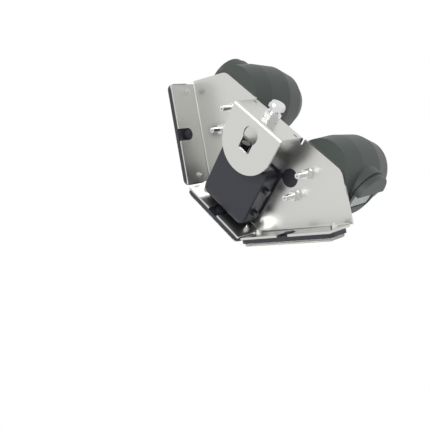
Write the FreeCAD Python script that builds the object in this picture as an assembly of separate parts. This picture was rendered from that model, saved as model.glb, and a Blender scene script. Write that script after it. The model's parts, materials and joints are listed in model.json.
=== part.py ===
import FreeCAD, Part
import math
import os

os.makedirs("parts", exist_ok=True)
V = FreeCAD.Vector

# ---- driving dimensions, mm -------------------------------------------------------------
# Bracket frame: X to the right, Y away from the open side, Z up along the clamp bolt.
# Y = 0 is the open-side face of the main plate, Z = 0 the top of the clamp's top plate.
TILT = 31.6              # the assembly leans back on its pods by this angle
LIFT = 94.9              # height of the bracket frame's origin above the bench
SHEET = 2.0              # bracket sheet thickness
BEND_IN = 1.2            # inner bend radius
PLATE_TOP_HALF = 76.9    # half width of the main plate's top edge
PLATE_SIDE_HALF = 111.2  # half width at the side corners
PLATE_LOW_HALF = 39.6    # half width of the bottom edge
SIDE_Z = -32.2           # height of the side corners
LOW_Z = -105.3           # height of the bottom edge
FLANGE_DEPTH = 30.0      # flanges stand this far forward of the main plate
CLAMP_HALF = 30.1        # half width of the clamp channel
CLAMP_DEPTH = 29.8       # main plate face to outer face of the front tab
TAB_STRAIGHT_Z = -22.0   # where the tab's rounded end begins
TAB_END_Z = -52.4        # lowest point of the tab
KEY_R = 8.4              # round part of the keyhole
KEY_Z = -16.2            # height of its centre
KEY_SLOT_HALF = 6.5      # half width of the square part below
KEY_SLOT_Z = -32.3       # bottom of the square part
CABLE_HOLE_R = 8.6       # cable holes in the wings
CABLE_HOLE_X = 38.3
CABLE_HOLE_Z = -38.0
STUD_X = 51.5            # pod studs
STUD_Z = (-23.0, -47.5)
BOLT_Y = -12.0           # clamp bolt axis
BOLT_R = 3.95            # M8 shank
NUT_BORE_R = 4.0
HEX_R = 7.5              # circumscribed radius of the 13 mm hexagon
POD_X = 59.0             # middle of each pod
POD_SPLIT_X = 70.0       # seam plane between a pod's two shells
POD_WALL = 2.2
GASKET = 1.0
BARREL_Y = 33.0          # camera barrel axis, parallel to X
BARREL_Z = -19.0
BARREL_R = 21.5
BARREL_GAP = 0.08        # radial running clearance of the barrel
BARREL_IN_X = 73.0       # inner end of the barrel
BARREL_OUT_X = 93.0      # face of the barrel
LED_BASE = 2.6           # light module base thickness
LED_TOTAL = 6.8          # light module overall thickness
LED_Y0 = -30.5           # front edge of a light module
LED_Y1 = -3.5            # rear edge of a light module
BOX_X = (-28.5, 29.5)
BOX_Z = (-99.4, -39.6)
BOX_Y = -22.0            # front face of the control box
CABLE_R = 2.5            # camera and power cables
LEAD_R = 1.5             # light leads

# Pod sections: distance from the plate, half width, half height, height of the middle.
POD_SECTIONS = ((3.0, 30.0, 35.5, -21.5), (25.0, 32.0, 38.0, -23.0), (55.0, 31.5, 36.5, -24.0),
                (80.0, 27.0, 31.0, -26.5), (97.0, 18.5, 22.0, -29.0), (106.0, 8.0, 9.5, -31.0))


# ---- helpers ----------------------------------------------------------------------------
def rest(shape):
    """Leans a shape from the bracket frame into its resting attitude on the bench."""
    out = shape.copy()
    out.rotate(V(0, 0, 0), V(1, 0, 0), -TILT)
    out.translate(V(0, 0, LIFT))
    return out


def mirrored(shape):
    """The same piece on the other side of the bracket's middle plane."""
    return shape.mirror(V(0, 0, 0), V(1, 0, 0))


NODES = {}


def add(name, shape, leaned=True):
    """Keeps a node, leaned into the resting attitude unless it already lies on the bench."""
    NODES[name] = rest(shape) if leaned else shape


def box(x0, x1, y0, y1, z0, z1):
    return Part.makeBox(x1 - x0, y1 - y0, z1 - z0, V(x0, y0, z0))


def rod(radius, start, end):
    """A round bar between two points."""
    axis = end - start
    return Part.makeCylinder(radius, axis.Length, start, axis)


def ring(outer, inner, start, end):
    """A round tube between two points."""
    axis = end - start
    return rod(outer, start, end).cut(rod(inner, start - axis * 0.5, end + axis * 0.5))


def hexagon(radius, start, end, turn=0.0):
    """A hexagonal bar along the line between two points."""
    axis = (end - start).normalize()
    side = axis.cross(V(1, 0, 0)) if abs(axis.x) < 0.9 else axis.cross(V(0, 1, 0))
    side.normalize()
    other = axis.cross(side)
    points = []
    for k in range(7):
        a = math.radians(60 * k + turn)
        points.append(start + side * (radius * math.cos(a)) + other * (radius * math.sin(a)))
    return Part.Face(Part.makePolygon(points)).extrude(end - start)


def tube_path(points, share=0.45):
    """Straight runs joined by tangent arcs, as one wire."""
    edges = []
    last = points[0]
    for k in range(1, len(points) - 1):
        back = points[k - 1] - points[k]
        ahead = points[k + 1] - points[k]
        cut = share * min(back.Length, ahead.Length)
        back.normalize()
        ahead.normalize()
        start = points[k] + back * cut
        end = points[k] + ahead * cut
        half = back.getAngle(ahead) / 2
        radius = cut * math.tan(half)
        bisector = (back + ahead).normalize()
        middle = points[k] + bisector * (radius / math.sin(half) - radius)
        edges.append(Part.LineSegment(last, start).toShape())
        edges.append(Part.Arc(start, middle, end).toShape())
        last = end
    edges.append(Part.LineSegment(last, points[-1]).toShape())
    return Part.Wire(edges)


def cable(name, points, radius, least):
    """A round cable along a route; prints its length and bend radii."""
    pts = [V(*p) for p in points]
    wire = tube_path(pts)
    circle = Part.Circle(pts[0], pts[1] - pts[0], radius)
    solid = Part.Wire([circle.toShape()])
    body = wire.makePipeShell([solid], True, False)
    radii = []
    for k in range(1, len(pts) - 1):
        back = pts[k - 1] - pts[k]
        ahead = pts[k + 1] - pts[k]
        half = back.getAngle(ahead) / 2
        radii.append(0.45 * min(back.Length, ahead.Length) * math.tan(half))
    expected = math.pi * radius * radius * wire.Length
    print(name, "length", round(wire.Length, 1), "radii", [round(r) for r in radii],
          "least", least, "volume ratio", round(body.Volume / expected, 4),
          "lowest", round(body.BoundBox.ZMin, 2))
    if min(radii) < least:
        print("TOO TIGHT:", name)
    return body


def rounded_plate(points, radii, y0, y1):
    """A plate in the XZ plane with rounded corners, extruded along Y."""
    n = len(points)
    edges = []
    starts = []
    ends = []
    for k in range(n):
        p = V(points[k][0], y0, points[k][1])
        a = V(points[k - 1][0], y0, points[k - 1][1]) - p
        b = V(points[(k + 1) % n][0], y0, points[(k + 1) % n][1]) - p
        a.normalize()
        b.normalize()
        half = a.getAngle(b) / 2
        cut = radii[k] / math.tan(half) if radii[k] > 0 else 0.0
        starts.append(p + a * cut)
        ends.append(p + b * cut)
        if radii[k] > 0:
            middle = p + (a + b).normalize() * (radii[k] / math.sin(half) - radii[k])
            edges.append((k, Part.Arc(starts[k], middle, ends[k]).toShape()))
    arcs = dict(edges)
    run = []
    for k in range(n):
        if k in arcs:
            run.append(arcs[k])
        nxt = (k + 1) % n
        if (starts[nxt] - ends[k]).Length > 1e-6:
            run.append(Part.LineSegment(ends[k], starts[nxt]).toShape())
    return Part.Face(Part.Wire(run)).extrude(V(0, y1 - y0, 0))


# ---- bracket ----------------------------------------------------------------------------
BEND_OUT = BEND_IN + SHEET


class Side:
    """One flange: the line of its outer face seen along Y, with its own directions."""

    def __init__(self, start, end):
        self.start = V(start[0], 0, start[1])
        self.end = V(end[0], 0, end[1])
        self.along = (self.end - self.start).normalize()
        self.length = (self.end - self.start).Length
        self.out = V(self.along.z, 0, -self.along.x)
        self.middle = (self.start + self.end) * 0.5
        if self.out.dot(self.middle - V(0, 0, -50)) < 0:
            self.out = self.out * -1

    def at(self, s, out, y):
        """A point s along the flange from its middle, out from its outer face, at Y = y."""
        return self.middle + self.along * s + self.out * out + V(0, y, 0)

    def slab(self, s0, s1, out0, out1, y0, y1):
        """A straight block in the flange's own directions."""
        a = self.at(s0, out0, y0)
        b = self.at(s0, out1, y0)
        c = self.at(s0, out1, y1)
        d = self.at(s0, out0, y1)
        return Part.Face(Part.makePolygon([a, b, c, d, a])).extrude(self.along * (s1 - s0))

    def rounded(self, s0, s1, out0, out1, y0, y1, radius):
        """A block whose four edges along the outward direction are rounded."""
        pts = [(s0, y0), (s1, y0), (s1, y1), (s0, y1)]
        signs = [(1, 1), (-1, 1), (-1, -1), (1, -1)]
        edges = []
        k45 = radius * (1 - math.sqrt(0.5))
        for k in range(4):
            s, y = pts[k]
            fs, fy = signs[k]
            a = self.at(s, out0, y + fy * radius)
            b = self.at(s + fs * radius, out0, y)
            if k % 2 == 1:
                a, b = b, a
            m = self.at(s + fs * k45, out0, y + fy * k45)
            edges.append((a, m, b))
        run = []
        for k in range(4):
            a, m, b = edges[k]
            run.append(Part.Arc(a, m, b).toShape())
            run.append(Part.LineSegment(b, edges[(k + 1) % 4][0]).toShape())
        return Part.Face(Part.Wire(run)).extrude(self.out * (out1 - out0))

    def flange(self, trim):
        """The bent strip: a quarter bend from the main plate, then the flat flange."""
        s0 = -self.length / 2 + trim
        length = self.length - 2 * trim
        r = math.sqrt(0.5)
        c_y = SHEET - BEND_OUT
        pts = [self.at(s0, -BEND_OUT, SHEET), self.at(s0, 0, c_y), self.at(s0, 0, -FLANGE_DEPTH),
               self.at(s0, -SHEET, -FLANGE_DEPTH), self.at(s0, -SHEET, c_y),
               self.at(s0, -BEND_OUT, 0)]
        mid_out = self.at(s0, -BEND_OUT + BEND_OUT * r, c_y + BEND_OUT * r)
        mid_in = self.at(s0, -BEND_OUT + BEND_IN * r, c_y + BEND_IN * r)
        run = [Part.Arc(pts[0], mid_out, pts[1]).toShape(),
               Part.LineSegment(pts[1], pts[2]).toShape(),
               Part.LineSegment(pts[2], pts[3]).toShape(),
               Part.LineSegment(pts[3], pts[4]).toShape(),
               Part.Arc(pts[4], mid_in, pts[5]).toShape(),
               Part.LineSegment(pts[5], pts[0]).toShape()]
        return Part.Face(Part.Wire(run)).extrude(self.along * length)


LEFT = Side((-PLATE_SIDE_HALF, SIDE_Z), (-PLATE_LOW_HALF, LOW_Z))
LOWER = Side((-PLATE_LOW_HALF, LOW_Z), (PLATE_LOW_HALF, LOW_Z))
RIGHT = Side((PLATE_LOW_HALF, LOW_Z), (PLATE_SIDE_HALF, SIDE_Z))
SIDES = (("left", LEFT), ("lower", LOWER), ("right", RIGHT))
NOTCH_HALF = 5.9         # half width of each flange's lead notch
NOTCH_Y = -19.0          # middle of the notch's round end
SCREW_Y = -12.0          # light screws through the flanges


def screw_places(side):
    """Distances of a light's two screws from the middle of its flange."""
    reach = side.length / 2 - 9.5
    return (-reach, reach)


def make_bracket():
    inset = BEND_OUT
    low_x = PLATE_LOW_HALF - inset * 0.41
    side_x = PLATE_SIDE_HALF - inset * 0.71
    shrink = inset * 0.70
    outline = [(-PLATE_TOP_HALF, -BEND_OUT + BEND_OUT), (PLATE_TOP_HALF, 0.0),
               (side_x + shrink * 0.6, SIDE_Z + 1.6), (side_x - shrink, SIDE_Z - shrink * 0.3),
               (low_x - 0.1, LOW_Z + inset), (-low_x + 0.1, LOW_Z + inset),
               (-side_x + shrink, SIDE_Z - shrink * 0.3),
               (-side_x - shrink * 0.6, SIDE_Z + 1.6)]
    radii = [12.0, 12.0, 0, 0, 0, 0, 0, 0]
    plate = rounded_plate(outline, radii, 0.0, SHEET)
    # The strip behind the clamp's bend is replaced by the bend itself.
    plate = plate.cut(box(-CLAMP_HALF - 2.5, CLAMP_HALF + 2.5, -1, SHEET + 1, -BEND_OUT, 1))
    plate = plate.cut(box(CLAMP_HALF, CLAMP_HALF + 2.5, -1, SHEET + 1, -6.0, 1))
    plate = plate.cut(box(-CLAMP_HALF - 2.5, -CLAMP_HALF, -1, SHEET + 1, -6.0, 1))
    # Clamp channel: bend, top plate, bend and front tab from one section.
    r = math.sqrt(0.5)
    back_y = SHEET - BEND_OUT
    front_y = -CLAMP_DEPTH + BEND_OUT
    x = -CLAMP_HALF

    def p(y, z):
        return V(x, y, z)

    section = [Part.Arc(p(SHEET, -BEND_OUT), p(back_y + BEND_OUT * r, -BEND_OUT + BEND_OUT * r),
                        p(back_y, 0)).toShape(),
               Part.LineSegment(p(back_y, 0), p(front_y, 0)).toShape(),
               Part.Arc(p(front_y, 0), p(front_y - BEND_OUT * r, -BEND_OUT + BEND_OUT * r),
                        p(-CLAMP_DEPTH, -BEND_OUT)).toShape(),
               Part.LineSegment(p(-CLAMP_DEPTH, -BEND_OUT), p(-CLAMP_DEPTH, TAB_END_Z)).toShape(),
               Part.LineSegment(p(-CLAMP_DEPTH, TAB_END_Z),
                                p(-CLAMP_DEPTH + SHEET, TAB_END_Z)).toShape(),
               Part.LineSegment(p(-CLAMP_DEPTH + SHEET, TAB_END_Z),
                                p(-CLAMP_DEPTH + SHEET, -BEND_OUT)).toShape(),
               Part.Arc(p(-CLAMP_DEPTH + SHEET, -BEND_OUT),
                        p(front_y - BEND_IN * r, -BEND_OUT + BEND_IN * r),
                        p(front_y, -SHEET)).toShape(),
               Part.LineSegment(p(front_y, -SHEET), p(back_y, -SHEET)).toShape(),
               Part.Arc(p(back_y, -SHEET), p(back_y + BEND_IN * r, -BEND_OUT + BEND_IN * r),
                        p(0, -BEND_OUT)).toShape(),
               Part.LineSegment(p(0, -BEND_OUT), p(SHEET, -BEND_OUT)).toShape()]
    channel = Part.Face(Part.Wire(section)).extrude(V(2 * CLAMP_HALF, 0, 0))
    # The tab's end is a half round of the channel's width.
    tab_keep = rounded_plate([(-CLAMP_HALF, 5), (CLAMP_HALF, 5), (CLAMP_HALF, TAB_END_Z),
                              (-CLAMP_HALF, TAB_END_Z)],
                             [0, 0, CLAMP_HALF - 0.3, CLAMP_HALF - 0.3], -CLAMP_DEPTH - 1, 10)
    channel = channel.common(tab_keep)
    y0 = -CLAMP_DEPTH - 1
    y1 = -CLAMP_DEPTH + SHEET + 1
    channel = channel.cut(rod(KEY_R, V(0, y0, KEY_Z), V(0, y1, KEY_Z)))
    slot = rounded_plate([(-KEY_SLOT_HALF, KEY_Z), (KEY_SLOT_HALF, KEY_Z),
                          (KEY_SLOT_HALF, KEY_SLOT_Z), (-KEY_SLOT_HALF, KEY_SLOT_Z)],
                         [0, 0, 1.0, 1.0], y0, y1)
    channel = channel.cut(slot)
    channel = channel.cut(rod(4.3, V(0, BOLT_Y, -10), V(0, BOLT_Y, 10)))
    for sx in (-1, 1):
        channel = channel.cut(box(sx * 26.5 - 2.2, sx * 26.5 + 2.2, -7.4, -5.8, -5, 5))
    shape = plate.fuse(channel)
    for _, side in SIDES:
        shape = shape.fuse(side.flange(2.4))
    for _, side in SIDES:
        mouth = side.slab(-NOTCH_HALF, NOTCH_HALF, -6, 3, -FLANGE_DEPTH - 2, NOTCH_Y)
        shape = shape.cut(mouth)
        shape = shape.cut(rod(NOTCH_HALF, side.at(0, -6, NOTCH_Y), side.at(0, 3, NOTCH_Y)))
        for s in screw_places(side):
            shape = shape.cut(rod(1.9, side.at(s, -6, SCREW_Y), side.at(s, 3, SCREW_Y)))
    for sx in (-1, 1):
        shape = shape.cut(rod(CABLE_HOLE_R, V(sx * CABLE_HOLE_X, -3, CABLE_HOLE_Z),
                              V(sx * CABLE_HOLE_X, 6, CABLE_HOLE_Z)))
        for z in STUD_Z:
            shape = shape.cut(rod(2.75, V(sx * STUD_X, -3, z), V(sx * STUD_X, 6, z)))
    return shape.removeSplitter()


add("bracket", make_bracket())


# ---- clamp bolt -------------------------------------------------------------------------
HEAD_Z = 10.2            # underside of the bolt head at rest
HEAD_H = 5.3
TIP_Z = -17.5


def make_bolt():
    head = hexagon(HEX_R, V(0, BOLT_Y, HEAD_Z), V(0, BOLT_Y, HEAD_Z + HEAD_H), 10)
    dome = Part.makeCone(HEX_R + 2.2, HEX_R - 1.2, 6.2, V(0, BOLT_Y, HEAD_Z - 0.9), V(0, 0, 1))
    head = head.common(dome)
    shank = rod(BOLT_R, V(0, BOLT_Y, TIP_Z), V(0, BOLT_Y, HEAD_Z))
    shape = head.fuse(shank)
    tip = Part.makeCone(BOLT_R - 1.0, BOLT_R + 0.6, 1.6, V(0, BOLT_Y, TIP_Z), V(0, 0, 1))
    keep = tip.fuse(rod(HEX_R + 3, V(0, BOLT_Y, TIP_Z + 1.6), V(0, BOLT_Y, HEAD_Z + HEAD_H)))
    return shape.common(keep).removeSplitter()


add("clamp_bolt", make_bolt())


def make_nut(z0, z1, turn):
    """A hexagon nut round the clamp bolt with both outer edges broken."""
    body = hexagon(HEX_R, V(0, BOLT_Y, z0), V(0, BOLT_Y, z1), turn)
    low = Part.makeCone(HEX_R - 0.7, HEX_R + z1 - z0 - 0.7, z1 - z0, V(0, BOLT_Y, z0), V(0, 0, 1))
    high = Part.makeCone(HEX_R + z1 - z0 - 0.7, HEX_R - 0.7, z1 - z0, V(0, BOLT_Y, z0),
                         V(0, 0, 1))
    body = body.common(low).common(high)
    return body.cut(rod(NUT_BORE_R, V(0, BOLT_Y, z0 - 1), V(0, BOLT_Y, z1 + 1)))


add("clamp_jam_nut", make_nut(0.0, 6.3, 22))
add("clamp_weld_nut", make_nut(-SHEET - 6.3, -SHEET, 0))


# ---- camera pods (drawn for +X, mirrored for the other side) ----------------------------
def pod_solid(shrink, y_from):
    """The pod's outer form, or the same form shrunk evenly for its cavity."""
    wires = []
    last = len(POD_SECTIONS) - 1
    for k, (y, wide, high, mid) in enumerate(POD_SECTIONS):
        if k == 0:
            y = y_from
        if k == last:
            y = y - shrink
        a = max(wide - shrink, 2.0)
        b = max(high - shrink, 2.6)
        ell = Part.Ellipse(V(0, 0, 0), b, a)
        edge = ell.toShape()
        wire = Part.Wire([edge])
        wire.rotate(V(0, 0, 0), V(0, 0, 1), 90)
        wire.rotate(V(0, 0, 0), V(1, 0, 0), 90)
        wire.translate(V(POD_X, y, mid))
        wires.append(wire)
    return Part.makeLoft(wires, True, True)


BARREL_A = V(BARREL_IN_X, BARREL_Y, BARREL_Z)
BARREL_B = V(BARREL_OUT_X, BARREL_Y, BARREL_Z)
SOCKET_R = BARREL_R + BARREL_GAP
SOCKET_OUT_X = 91.2


def at_x(x):
    return V(x, BARREL_Y, BARREL_Z)


def make_pod():
    outer = pod_solid(0.0, 2.0 + GASKET)
    inner = pod_solid(POD_WALL, 2.0 + GASKET + POD_WALL)
    shell = outer.cut(inner)
    # A socket tube carries the barrel; a floor closes it towards the pod's inside.
    tube = ring(SOCKET_R + 1.8, SOCKET_R, at_x(POD_SPLIT_X + 1.5), at_x(SOCKET_OUT_X))
    floor = rod(SOCKET_R + 1.8, at_x(POD_SPLIT_X + 1.5), at_x(BARREL_IN_X - 0.3))
    hollow = rod(SOCKET_R, at_x(BARREL_IN_X - 0.3), at_x(120))
    shell = shell.fuse(tube).fuse(floor).cut(hollow)
    shell = shell.cut(rod(4.5, at_x(60), at_x(BARREL_IN_X)))
    inside = box(0, POD_SPLIT_X, -10, 140, -90, 60)
    inner_shell = shell.common(inside)
    outer_shell = shell.cut(inside)
    hole = rod(CABLE_HOLE_R - 1.5, V(CABLE_HOLE_X, 0, CABLE_HOLE_Z),
               V(CABLE_HOLE_X, 9, CABLE_HOLE_Z))
    inner_shell = inner_shell.cut(hole)
    studs = []
    nuts = []
    for z in STUD_Z:
        inner_shell = inner_shell.cut(rod(2.6, V(STUD_X, 0, z), V(STUD_X, 9, z)))
        stud = rod(2.5, V(STUD_X, -15.5, z), V(STUD_X, 2.0 + GASKET + POD_WALL, z))
        head = rod(4.2, V(STUD_X, 2.0 + GASKET + POD_WALL, z), V(STUD_X, 8.4, z))
        socket = hexagon(1.5, V(STUD_X, -16.5, z), V(STUD_X, -13.0, z))
        studs.append(stud.fuse(head).cut(socket))
        washer = ring(5.0, 2.8, V(STUD_X, -1.0, z), V(STUD_X, 0.0, z))
        nut = hexagon(4.62, V(STUD_X, -5.0, z), V(STUD_X, -1.0, z))
        nut = nut.cut(rod(2.5, V(STUD_X, -7, z), V(STUD_X, 1, z)))
        nuts.append(washer.fuse(nut))
    gasket = pod_solid(-0.0, 2.0 + GASKET).common(box(0, 140, 2.9, 3.4, -90, 60))
    base = Part.Wire([e for e in gasket.Edges if abs(e.BoundBox.YMax - 3.0) < 0.01][:1])
    gasket = Part.Face(base).extrude(V(0, -GASKET, 0))
    gasket = gasket.cut(rod(CABLE_HOLE_R - 1.0, V(CABLE_HOLE_X, 0, CABLE_HOLE_Z),
                            V(CABLE_HOLE_X, 9, CABLE_HOLE_Z)))
    for z in STUD_Z:
        gasket = gasket.cut(rod(2.8, V(STUD_X, 0, z), V(STUD_X, 9, z)))
    return inner_shell, outer_shell, gasket, studs[0].fuse(studs[1]), nuts[0].fuse(nuts[1])


HOOD_Z = BARREL_Z + 3.5      # lower edge of the barrel's hood
WINDOW_X = BARREL_OUT_X - 2.4


def make_barrel():
    body = rod(BARREL_R, BARREL_A, BARREL_B)
    cap = rod(BARREL_R, at_x(BARREL_OUT_X), at_x(BARREL_OUT_X + 4.5))
    cap = cap.common(box(60, 120, 0, 80, HOOD_Z, 40))
    body = body.fuse(cap)
    body = body.cut(rod(BARREL_R - 2.4, at_x(BARREL_IN_X + 2.0), at_x(BARREL_OUT_X - 3.4)))
    # Window opening below the hood, with a step that holds the glass.
    y0 = BARREL_Y - 16.5
    y1 = BARREL_Y + 16.5
    z0 = BARREL_Z - 13.5
    z1 = BARREL_Z + 2.6
    body = body.cut(box(80, 120, y0 + 1.2, y1 - 1.2, z0 + 1.2, z1 - 1.2))
    body = body.cut(box(WINDOW_X, 120, y0, y1, z0, z1))
    body = body.cut(rod(3.4, at_x(BARREL_IN_X - 1), at_x(BARREL_IN_X + 4)))
    glass = box(WINDOW_X, WINDOW_X + 1.6, y0 + 0.15, y1 - 0.15, z0 + 0.15, z1 - 0.15)
    lens_z = BARREL_Z - 5.4
    back = BARREL_IN_X + 2.0
    camera = rod(7.0, V(back, BARREL_Y, lens_z), V(back + 8.0, BARREL_Y, lens_z))
    camera = camera.fuse(rod(5.2, V(back + 8.0, BARREL_Y, lens_z), V(back + 13.0, BARREL_Y, lens_z)))
    camera = camera.cut(rod(3.6, V(back + 11.5, BARREL_Y, lens_z), V(back + 14.0, BARREL_Y, lens_z)))
    return body.removeSplitter(), glass, camera


pod = make_pod()
head = make_barrel()
for tag, turn in (("right", False), ("left", True)):
    pieces = dict(zip(("inner_shell", "outer_shell", "gasket", "studs", "nuts"), pod))
    pieces["barrel"], pieces["window"], pieces["camera"] = head
    for key, shape in pieces.items():
        add("pod_" + tag + "_" + key, mirrored(shape) if turn else shape)

# Cable grommets in the wings.
GROMMET_IN = CABLE_R
for tag, sx in (("right", 1), ("left", -1)):
    x = sx * CABLE_HOLE_X
    g = rod(CABLE_HOLE_R, V(x, 0.0, CABLE_HOLE_Z), V(x, 2.0, CABLE_HOLE_Z))
    g = g.fuse(rod(CABLE_HOLE_R - 1.6, V(x, 0.5, CABLE_HOLE_Z), V(x, 6.0, CABLE_HOLE_Z)))
    g = g.cut(rod(GROMMET_IN, V(x, 1.0, CABLE_HOLE_Z), V(x, 9.0, CABLE_HOLE_Z)))
    add("grommet_" + tag, g)


# ---- light modules ----------------------------------------------------------------------
def make_light(name, side):
    half = side.length / 2 - 1.4
    mid_y = (LED_Y0 + LED_Y1) / 2
    base = side.rounded(-half, half, 0.0, LED_BASE + 1.0, LED_Y0, LED_Y1, 6.0)
    tray = side.rounded(-half + 1.6, half - 1.6, 1.2, LED_BASE + 2.0, LED_Y0 + 1.6, LED_Y1 - 1.6, 4.4)
    base = base.cut(tray)
    boss = rod(4.4, side.at(0, -3.0, NOTCH_Y), side.at(0, 1.0, NOTCH_Y))
    base = base.fuse(boss)
    board = side.rounded(-half + 2.0, half - 2.0, 1.2, 2.0, LED_Y0 + 2.0, LED_Y1 - 2.0, 4.0)
    chips = []
    count = 9 if side.length > 90 else 7
    for k in range(count):
        s = (k - (count - 1) / 2) * (2 * half - 22.0) / (count - 1)
        chips.append(side.slab(s - 1.75, s + 1.75, 2.0, 3.0, mid_y - 1.75, mid_y + 1.75))
    chip_set = Part.makeCompound(chips)
    lens = side.rounded(-half + 1.8, half - 1.8, 2.3, LED_TOTAL, LED_Y0 + 1.8, LED_Y1 - 1.8, 4.2)
    cavity = side.rounded(-half + 5.6, half - 5.6, 1.0, LED_TOTAL - 1.8, LED_Y0 + 5.6, LED_Y1 - 5.6, 2.4)
    lens = lens.cut(cavity)
    top = [e for e in lens.Edges
           if abs((e.CenterOfMass - side.middle).dot(side.out) - LED_TOTAL) < 0.01]
    lens = lens.makeFillet(1.6, top)
    screws = []
    for s in screw_places(side):
        shaft = rod(1.5, side.at(s, -6.0, SCREW_Y), side.at(s, 0.0, SCREW_Y))
        nut = hexagon(3.1, side.at(s, -SHEET - 2.4, SCREW_Y), side.at(s, -SHEET, SCREW_Y))
        screws.append(shaft.fuse(nut))
    add("light_" + name + "_base", base)
    add("light_" + name + "_board", board)
    add("light_" + name + "_chips", chip_set)
    add("light_" + name + "_lens", lens)
    add("light_" + name + "_screws", Part.makeCompound(screws))


for light_name, light_side in SIDES:
    make_light(light_name, light_side)


# ---- control box ------------------------------------------------------------------------
BOX_BACK_Y = -2.4        # shell meets its back plate here


def make_box():
    x0, x1 = BOX_X
    z0, z1 = BOX_Z
    pts = [(x0, z0), (x1, z0), (x1, z1), (x0, z1)]
    shell = rounded_plate(pts, [7.0, 7.0, 7.0, 7.0], BOX_Y, BOX_BACK_Y)
    front = [e for e in shell.Edges if abs(e.BoundBox.YMax - BOX_Y) < 0.01]
    shell = shell.makeFillet(2.0, front)
    inner = rounded_plate([(x0 + 2, z0 + 2), (x1 - 2, z0 + 2), (x1 - 2, z1 - 2), (x0 + 2, z1 - 2)],
                          [5.0, 5.0, 5.0, 5.0], BOX_Y + 2.0, BOX_BACK_Y + 1)
    shell = shell.cut(inner)
    back = rounded_plate([(x0 - 2, z0 - 1.5), (x1 + 2, z0 - 1.5), (x1 + 2, z1 + 2), (x0 - 2, z1 + 2)],
                         [6.0, 6.0, 6.0, 6.0], BOX_BACK_Y, 0.0)
    board = rounded_plate([(x0 + 5, z0 + 5), (x1 - 5, z0 + 5), (x1 - 5, z1 - 5), (x0 + 5, z1 - 5)],
                          [2.0, 2.0, 2.0, 2.0], -8.0, -6.4)
    parts = [box(-14, -2, -12.5, -8.0, -72, -60), box(6, 14, -14.0, -8.0, -88, -76),
             box(-18, -8, -13.0, -8.0, -90, -82)]
    for piece in parts:
        board = board.fuse(piece)
    for sx, sz in ((-18, -52), (19, -52), (-18, -87), (19, -87)):
        board = board.fuse(rod(2.0, V(sx, -6.4, sz), V(sx, BOX_BACK_Y, sz)))
    return shell, back, board


box_shell, box_back, box_board = make_box()
GLANDS = ((BOX_X[1], -12.0, -58.0, 1), (BOX_X[1], -12.0, -84.0, 1), (BOX_X[0], -12.0, -70.0, -1))
gland_set = []
for gx, gy, gz, sx in GLANDS:
    gland_set.append(rod(3.2, V(gx, gy, gz), V(gx + sx * 4.0, gy, gz)))
gland_set.append(rod(4.2, V(-12.0, -12.0, BOX_Z[1]), V(-12.0, -12.0, BOX_Z[1] + 5.0)))
gland_set.append(rod(3.2, V(0.0, -12.0, BOX_Z[0] - 0.0), V(0.0, -12.0, BOX_Z[0] - 2.2)))
add("box_shell", box_shell)
add("box_back", box_back)
add("box_board", box_board)
add("box_glands", Part.makeCompound(gland_set))

# The origin sits under the middle of the assembly, at bench level.
whole = Part.makeCompound(list(NODES.values())).optimalBoundingBox(True, False)
for name in NODES:
    NODES[name].translate(V(-whole.Center.x, -whole.Center.y, -whole.ZMin))
print("moved", round(-whole.Center.x, 3), round(-whole.Center.y, 3), round(-whole.ZMin, 3))

for name, shape in NODES.items():
    shape.exportStep("parts/" + name + ".step")
total = Part.makeCompound(list(NODES.values()))
bb = total.BoundBox
print("box", [round(v, 2) for v in (bb.XMin, bb.XMax, bb.YMin, bb.YMax, bb.ZMin, bb.ZMax)])
for name, shape in NODES.items():
    if not shape.isValid():
        print("INVALID", name)
    b = shape.BoundBox
    print(name, len(shape.Solids), round(shape.Volume, 1), [round(v, 1) for v in
          (b.XMin, b.XMax, b.YMin, b.YMax, b.ZMin, b.ZMax)])
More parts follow.
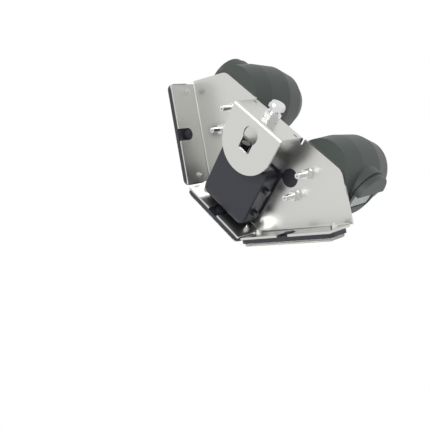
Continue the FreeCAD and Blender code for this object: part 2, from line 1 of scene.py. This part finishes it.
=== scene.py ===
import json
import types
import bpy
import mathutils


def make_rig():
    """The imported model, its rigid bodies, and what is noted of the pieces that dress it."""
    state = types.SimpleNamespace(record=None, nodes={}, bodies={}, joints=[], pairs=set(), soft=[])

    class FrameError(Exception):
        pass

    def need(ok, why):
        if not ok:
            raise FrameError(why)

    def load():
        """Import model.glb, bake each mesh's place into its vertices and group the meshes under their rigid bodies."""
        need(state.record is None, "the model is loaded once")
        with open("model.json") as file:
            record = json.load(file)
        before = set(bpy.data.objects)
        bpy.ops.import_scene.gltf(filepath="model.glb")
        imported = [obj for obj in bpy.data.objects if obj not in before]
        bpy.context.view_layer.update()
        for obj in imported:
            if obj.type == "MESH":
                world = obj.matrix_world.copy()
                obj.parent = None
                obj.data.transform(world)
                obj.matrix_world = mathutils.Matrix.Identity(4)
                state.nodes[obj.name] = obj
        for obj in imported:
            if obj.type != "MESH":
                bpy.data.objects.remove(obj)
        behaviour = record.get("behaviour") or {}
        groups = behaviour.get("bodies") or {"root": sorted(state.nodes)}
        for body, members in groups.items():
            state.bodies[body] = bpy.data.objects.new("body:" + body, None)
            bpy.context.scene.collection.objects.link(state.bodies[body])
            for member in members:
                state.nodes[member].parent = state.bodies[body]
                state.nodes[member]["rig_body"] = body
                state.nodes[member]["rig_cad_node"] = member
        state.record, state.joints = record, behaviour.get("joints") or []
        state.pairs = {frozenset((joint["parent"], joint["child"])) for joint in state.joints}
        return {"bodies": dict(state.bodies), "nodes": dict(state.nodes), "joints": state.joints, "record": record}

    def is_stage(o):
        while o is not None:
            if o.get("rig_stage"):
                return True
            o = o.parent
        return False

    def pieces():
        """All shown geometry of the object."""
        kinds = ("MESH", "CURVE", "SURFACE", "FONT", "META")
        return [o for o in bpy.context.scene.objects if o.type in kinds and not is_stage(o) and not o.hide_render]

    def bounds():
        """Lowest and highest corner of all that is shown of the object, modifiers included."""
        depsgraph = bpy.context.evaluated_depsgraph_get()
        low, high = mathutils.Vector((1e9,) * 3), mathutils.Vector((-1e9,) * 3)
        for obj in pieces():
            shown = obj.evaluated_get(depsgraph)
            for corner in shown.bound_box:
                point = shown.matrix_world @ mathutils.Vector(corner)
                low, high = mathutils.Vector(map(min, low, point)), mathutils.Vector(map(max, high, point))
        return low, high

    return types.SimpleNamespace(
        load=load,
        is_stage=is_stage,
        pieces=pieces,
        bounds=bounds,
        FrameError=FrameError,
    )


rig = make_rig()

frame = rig.load()

import json
import math

import bpy
from mathutils import Matrix, Vector


def plain_bounds():
    """The frame's bounds as plain nested lists, whatever vectors they hold."""
    def plain(value):
        if isinstance(value, dict):
            return {key: plain(item) for key, item in value.items()}
        if hasattr(value, "__len__") and not isinstance(value, str):
            return [plain(item) for item in value]
        return value
    return plain(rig.bounds())


before = plain_bounds()

# Colour, metalness, roughness and grain bump of each surface, by words in a piece's name.
FINISHES = (
    ("lens", (0.9, 0.9, 0.85), 0.0, 0.08, 0.0, 0.8),
    ("window", (0.5, 0.55, 0.56), 0.0, 0.08, 0.0, 0.6),
    ("chips", (0.9, 0.42, 0.05), 0.0, 0.3, 0.0, 0.0),
    ("bracket", (0.62, 0.62, 0.60), 1.0, 0.3, 0.04, 0.0),
    ("clamp", (0.7, 0.7, 0.7), 1.0, 0.2, 0.02, 0.0),
    ("studs", (0.7, 0.7, 0.7), 1.0, 0.2, 0.02, 0.0),
    ("nuts", (0.7, 0.7, 0.7), 1.0, 0.2, 0.02, 0.0),
    ("screws", (0.7, 0.7, 0.7), 1.0, 0.2, 0.02, 0.0),
    ("pod", (0.035, 0.045, 0.04), 0.0, 0.5, 0.1, 0.0),
    ("", (0.012, 0.013, 0.02), 0.0, 0.4, 0.08, 0.0),
)


def make_material(key, colour, metal, rough, bump, clear):
    """A surface with fine grain from object coordinates."""
    mat = bpy.data.materials.new("finish_" + (key or "black"))
    mat.use_nodes = True
    tree = mat.node_tree
    shader = tree.nodes["Principled BSDF"]
    shader.inputs["Base Color"].default_value = (*colour, 1.0)
    shader.inputs["Metallic"].default_value = metal
    shader.inputs["Roughness"].default_value = rough
    shader.inputs["Transmission Weight"].default_value = clear
    if bump:
        place = tree.nodes.new("ShaderNodeTexCoord")
        noise = tree.nodes.new("ShaderNodeTexNoise")
        relief = tree.nodes.new("ShaderNodeBump")
        noise.inputs["Scale"].default_value = 1500.0
        relief.inputs["Strength"].default_value = bump
        tree.links.new(place.outputs["Object"], noise.inputs["Vector"])
        tree.links.new(noise.outputs["Fac"], relief.inputs["Height"])
        tree.links.new(relief.outputs["Normal"], shader.inputs["Normal"])
    return mat


materials = [(row[0], make_material(*row)) for row in FINISHES]
for piece in [o for o in bpy.data.objects if o.type == "MESH"]:
    piece.data.materials.clear()
    piece.data.materials.append(next(m for key, m in materials if key in piece.name))

# Camera: above, in front and to the right of the open side, in metres.
CAMERA_PLACE = Vector((0.2541, -0.2444, 0.4801))
RIGHT = Vector((0.616, 0.786, -0.0518))
DOWN = Vector((0.6423, -0.5392, -0.5447))
AHEAD = Vector((-0.4561, 0.3023, -0.837))
turn = Matrix((RIGHT, -DOWN, -AHEAD)).transposed().to_4x4()
lens = bpy.data.cameras.new("camera")
lens.angle = 2 * math.atan(215.0 / 580.0)
camera = bpy.data.objects.new("camera", lens)
camera.matrix_world = Matrix.Translation(CAMERA_PLACE) @ turn
bpy.context.scene.collection.objects.link(camera)
bpy.context.scene.camera = camera
bpy.context.scene.view_settings.view_transform = "Standard"

world = bpy.data.worlds.new("white")
world.use_nodes = True
world.node_tree.nodes["Background"].inputs["Color"].default_value = (1, 1, 1, 1)
bpy.context.scene.world = world
light = bpy.data.lights.new("key", "AREA")
light.energy = 6.0
light.size = 0.5
lamp = bpy.data.objects.new("key", light)
lamp.location = (-0.3, -0.4, 0.8)
lamp.rotation_euler = (math.radians(-27), math.radians(-20), 0)
bpy.context.scene.collection.objects.link(lamp)

with open("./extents.json", "w") as out:
    json.dump([before, plain_bounds()], out)
